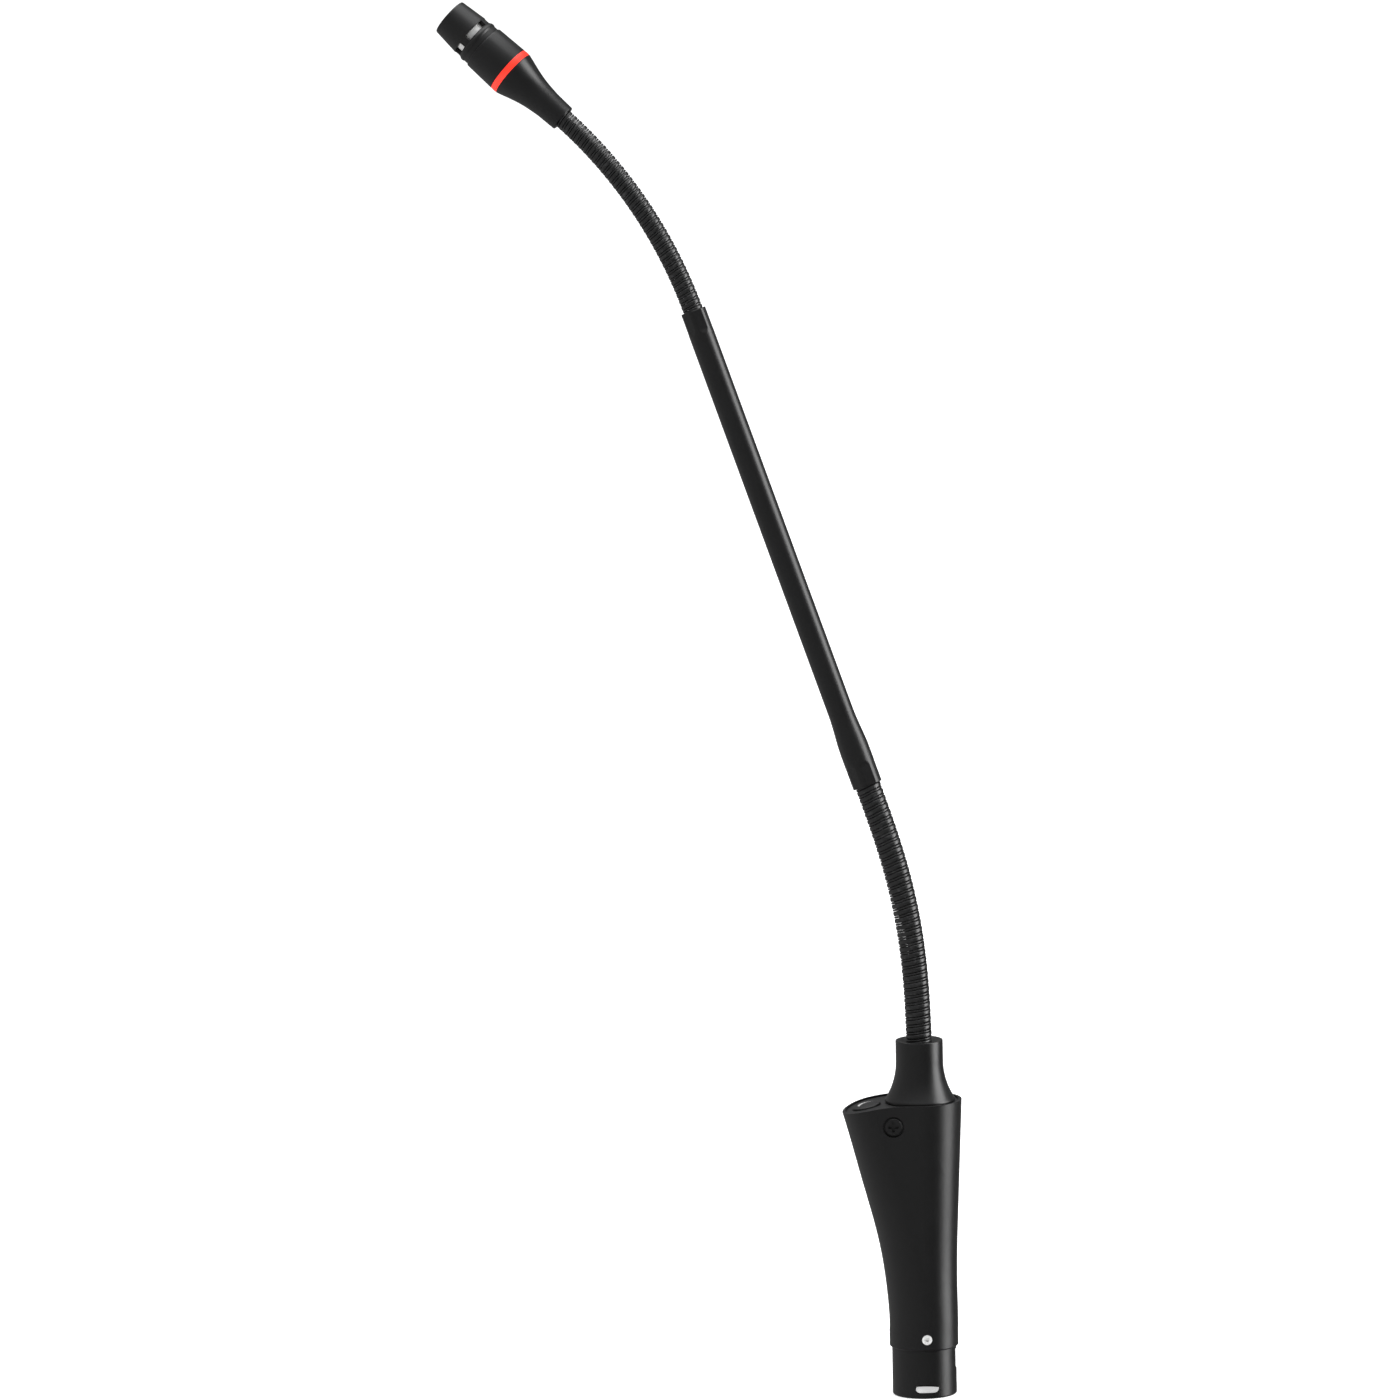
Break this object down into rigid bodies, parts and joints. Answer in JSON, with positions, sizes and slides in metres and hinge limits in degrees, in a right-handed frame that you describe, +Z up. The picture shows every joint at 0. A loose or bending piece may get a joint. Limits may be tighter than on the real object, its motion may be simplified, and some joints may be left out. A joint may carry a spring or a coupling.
{
  "type": "gooseneck microphone",
  "caption": "Slim gooseneck podium microphone: pencil head with a light ring, wound flexible sections joined by a stiff tube, and a plug-in base with a mute button.",
  "frame": {"origin": "on the plug's axis, at the shoulder where the plug's barrel meets the housing", "axes": "+Z up along the base's axis, -X towards the lobe with the mute button, -Y towards the side with the plug's oblong slot; the plug leaves along -Z"},
  "size_m": [0.1448, 0.0763, 0.4109],
  "materials": {
    "satin_black_metal": "satin powder-fine black finish",
    "wound_black_wire": "satin black wound spring wire",
    "black_moulding": "matte moulded",
    "button_black": "fine matte moulded",
    "ring_red": "translucent lit orange-red",
    "nickel": "bright nickel plate",
    "steel_black": "blackened steel",
    "brass": "plain turned",
    "board": "glass-fibre laminate",
    "component": "matte",
    "capacitor_can": "plain drawn",
    "lead": "insulated wire",
    "cable_jacket": "matte jacket",
    "insulator": "matte moulded",
    "foam": "open foam",
    "film": "metallised film",
    "led_lens": "clear lens"
  },
  "bodies": {
    "base": {"plug_barrel": "satin_black_metal", "plug_insert": "insulator", "contact_pins": "nickel", "plug_set_screw": "nickel", "housing_shell": "satin_black_metal", "plate_screws": "steel_black", "top_plate": "black_moulding", "switch_body": "component", "switch_board": "board", "neck_boot": "satin_black_metal", "boot_nut": "brass", "main_board": "board", "board_screws": "nickel", "board_capacitors": "capacitor_can", "board_chips": "component", "cable_header": "insulator", "plug_leads": "lead", "lower_cable": "cable_jacket", "lower_coil_ferrule": "wound_black_wire"},
    "mute_button": {"mute_button": "button_black"},
    "switch_plunger": {"switch_plunger": "component"},
    "lower_link_1": {"lower_link_1": "wound_black_wire"},
    "lower_link_2": {"lower_link_2": "wound_black_wire"},
    "lower_link_3": {"lower_link_3": "wound_black_wire"},
    "lower_link_4": {"lower_link_4": "wound_black_wire"},
    "lower_link_5": {"lower_link_5": "wound_black_wire"},
    "lower_link_6": {"lower_link_6": "wound_black_wire"},
    "lower_link_7": {"lower_link_7": "wound_black_wire"},
    "lower_link_8": {"lower_link_8": "wound_black_wire"},
    "lower_link_9": {"lower_link_9": "wound_black_wire"},
    "tube": {"tube_lower_ferrule": "wound_black_wire", "centre_tube": "satin_black_metal", "tube_upper_ferrule": "wound_black_wire", "upper_cable": "cable_jacket"},
    "upper_link_1": {"upper_link_1": "wound_black_wire"},
    "upper_link_2": {"upper_link_2": "wound_black_wire"},
    "upper_link_3": {"upper_link_3": "wound_black_wire"},
    "upper_link_4": {"upper_link_4": "wound_black_wire"},
    "upper_link_5": {"upper_link_5": "wound_black_wire"},
    "upper_link_6": {"upper_link_6": "wound_black_wire"},
    "upper_link_7": {"upper_link_7": "wound_black_wire"},
    "upper_link_8": {"upper_link_8": "wound_black_wire"},
    "upper_link_9": {"upper_link_9": "wound_black_wire"},
    "head": {"head_ferrule": "wound_black_wire", "neck_cone": "satin_black_metal", "light_ring": "ring_red", "led_board": "board", "leds": "led_lens", "head_body": "satin_black_metal", "front_cap": "satin_black_metal", "capsule_can": "nickel", "capsule_diaphragm": "film", "capsule_spacer": "insulator", "capsule_backplate": "brass", "capsule_board": "board", "capsule_seat": "black_moulding", "front_grille": "steel_black", "foam_disc": "foam", "head_cable": "cable_jacket"}
  },
  "joints": [
    {"name": "mute_press", "type": "slide", "parent": "base", "child": "mute_button", "axis": [0.2115, 0, -0.9774], "range_m": [0, 0.0006], "stiffness_N_per_m": 1200, "springref_m": -0.0003},
    {"name": "plunger_press", "type": "slide", "parent": "base", "child": "switch_plunger", "axis": [0.2115, 0, -0.9774], "range_m": [0, 0.0006]},
    {"name": "lower_bend_1", "type": "hinge", "parent": "base", "child": "lower_link_1", "pos_m": [-0.00009, 0.00004, 0.09501], "axis": [-0.4493, -0.8934, 0], "range_deg": [-18.2, 11.8], "deforming": ["lower_cable"]},
    {"name": "lower_sway_2", "type": "hinge", "parent": "lower_link_1", "child": "lower_link_2", "pos_m": [-0.00033, 0.00017, 0.10282], "axis": [-0.8925, 0.4489, -0.0449], "range_deg": [-15, 15]},
    {"name": "lower_bend_3", "type": "hinge", "parent": "lower_link_2", "child": "lower_link_3", "pos_m": [-0.00075, 0.00038, 0.11063], "axis": [-0.4493, -0.8934, 0], "range_deg": [-18.2, 11.8]},
    {"name": "lower_sway_4", "type": "hinge", "parent": "lower_link_3", "child": "lower_link_4", "pos_m": [-0.00143, 0.00072, 0.11841], "axis": [-0.887, 0.4461, -0.1191], "range_deg": [-15, 15]},
    {"name": "lower_bend_5", "type": "hinge", "parent": "lower_link_4", "child": "lower_link_5", "pos_m": [-0.00243, 0.00122, 0.12615], "axis": [-0.4493, -0.8934, 0], "range_deg": [-18.2, 11.8]},
    {"name": "lower_bend_6", "type": "hinge", "parent": "lower_link_5", "child": "lower_link_6", "pos_m": [-0.00376, 0.00189, 0.13383], "axis": [-0.4493, -0.8934, 0], "range_deg": [-18.2, 11.8]},
    {"name": "lower_sway_7", "type": "hinge", "parent": "lower_link_6", "child": "lower_link_7", "pos_m": [-0.00544, 0.00274, 0.14142], "axis": [-0.8619, 0.4335, -0.2632], "range_deg": [-15, 15]},
    {"name": "lower_bend_8", "type": "hinge", "parent": "lower_link_7", "child": "lower_link_8", "pos_m": [-0.00743, 0.00374, 0.14891], "axis": [-0.4493, -0.8934, 0], "range_deg": [-18.2, 11.8]},
    {"name": "lower_sway_9", "type": "hinge", "parent": "lower_link_8", "child": "lower_link_9", "pos_m": [-0.00966, 0.00486, 0.15632], "axis": [-0.842, 0.4235, -0.3343], "range_deg": [-15, 15]},
    {"name": "lower_bend_10", "type": "hinge", "parent": "lower_link_9", "child": "tube", "pos_m": [-0.01207, 0.00607, 0.16366], "axis": [-0.4493, -0.8934, 0], "range_deg": [-18.2, 11.8]},
    {"name": "upper_bend_1", "type": "hinge", "parent": "tube", "child": "upper_link_1", "pos_m": [-0.06145, 0.0309, 0.30983], "axis": [-0.3255, -0.9442, 0.0504], "range_deg": [-19.8, 10.2], "deforming": ["upper_cable"]},
    {"name": "upper_sway_2", "type": "hinge", "parent": "upper_link_1", "child": "upper_link_2", "pos_m": [-0.06394, 0.0321, 0.31617], "axis": [-0.8649, 0.2757, -0.4194], "range_deg": [-15, 15]},
    {"name": "upper_bend_3", "type": "hinge", "parent": "upper_link_2", "child": "upper_link_3", "pos_m": [-0.06674, 0.03339, 0.32237], "axis": [-0.3255, -0.9442, 0.0504], "range_deg": [-19.8, 10.2]},
    {"name": "upper_sway_4", "type": "hinge", "parent": "upper_link_3", "child": "upper_link_4", "pos_m": [-0.06982, 0.03478, 0.32841], "axis": [-0.8221, 0.2562, -0.5083], "range_deg": [-15, 15]},
    {"name": "upper_bend_5", "type": "hinge", "parent": "upper_link_4", "child": "upper_link_5", "pos_m": [-0.0732, 0.03625, 0.33426], "axis": [-0.3255, -0.9442, 0.0504], "range_deg": [-19.8, 10.2]},
    {"name": "upper_bend_6", "type": "hinge", "parent": "upper_link_5", "child": "upper_link_6", "pos_m": [-0.07685, 0.03781, 0.33993], "axis": [-0.3255, -0.9442, 0.0504], "range_deg": [-19.8, 10.2]},
    {"name": "upper_sway_7", "type": "hinge", "parent": "upper_link_6", "child": "upper_link_7", "pos_m": [-0.08077, 0.03946, 0.34539], "axis": [-0.7426, 0.2222, -0.6319], "range_deg": [-15, 15]},
    {"name": "upper_bend_8", "type": "hinge", "parent": "upper_link_7", "child": "upper_link_8", "pos_m": [-0.08495, 0.04118, 0.35063], "axis": [-0.3255, -0.9442, 0.0504], "range_deg": [-19.8, 10.2]},
    {"name": "upper_sway_9", "type": "hinge", "parent": "upper_link_8", "child": "upper_link_9", "pos_m": [-0.08937, 0.04297, 0.35564], "axis": [-0.68, 0.1967, -0.7064], "range_deg": [-15, 15]},
    {"name": "upper_bend_10", "type": "hinge", "parent": "upper_link_9", "child": "head", "pos_m": [-0.09404, 0.04483, 0.3604], "axis": [-0.3255, -0.9442, 0.0504], "range_deg": [-19.8, 10.2]}
  ],
  "couplings": [
    {"joint": "plunger_press", "follows": "mute_press", "ratio": 1},
    {"joint": "lower_bend_3", "follows": "lower_bend_1", "ratio": 1},
    {"joint": "lower_sway_4", "follows": "lower_sway_2", "ratio": 1},
    {"joint": "lower_bend_5", "follows": "lower_bend_1", "ratio": 1},
    {"joint": "lower_bend_6", "follows": "lower_bend_1", "ratio": 1},
    {"joint": "lower_sway_7", "follows": "lower_sway_2", "ratio": 1},
    {"joint": "lower_bend_8", "follows": "lower_bend_1", "ratio": 1},
    {"joint": "lower_sway_9", "follows": "lower_sway_2", "ratio": 1},
    {"joint": "lower_bend_10", "follows": "lower_bend_1", "ratio": 1},
    {"joint": "upper_bend_3", "follows": "upper_bend_1", "ratio": 1},
    {"joint": "upper_sway_4", "follows": "upper_sway_2", "ratio": 1},
    {"joint": "upper_bend_5", "follows": "upper_bend_1", "ratio": 1},
    {"joint": "upper_bend_6", "follows": "upper_bend_1", "ratio": 1},
    {"joint": "upper_sway_7", "follows": "upper_sway_2", "ratio": 1},
    {"joint": "upper_bend_8", "follows": "upper_bend_1", "ratio": 1},
    {"joint": "upper_sway_9", "follows": "upper_sway_2", "ratio": 1},
    {"joint": "upper_bend_10", "follows": "upper_bend_1", "ratio": 1}
  ]
}
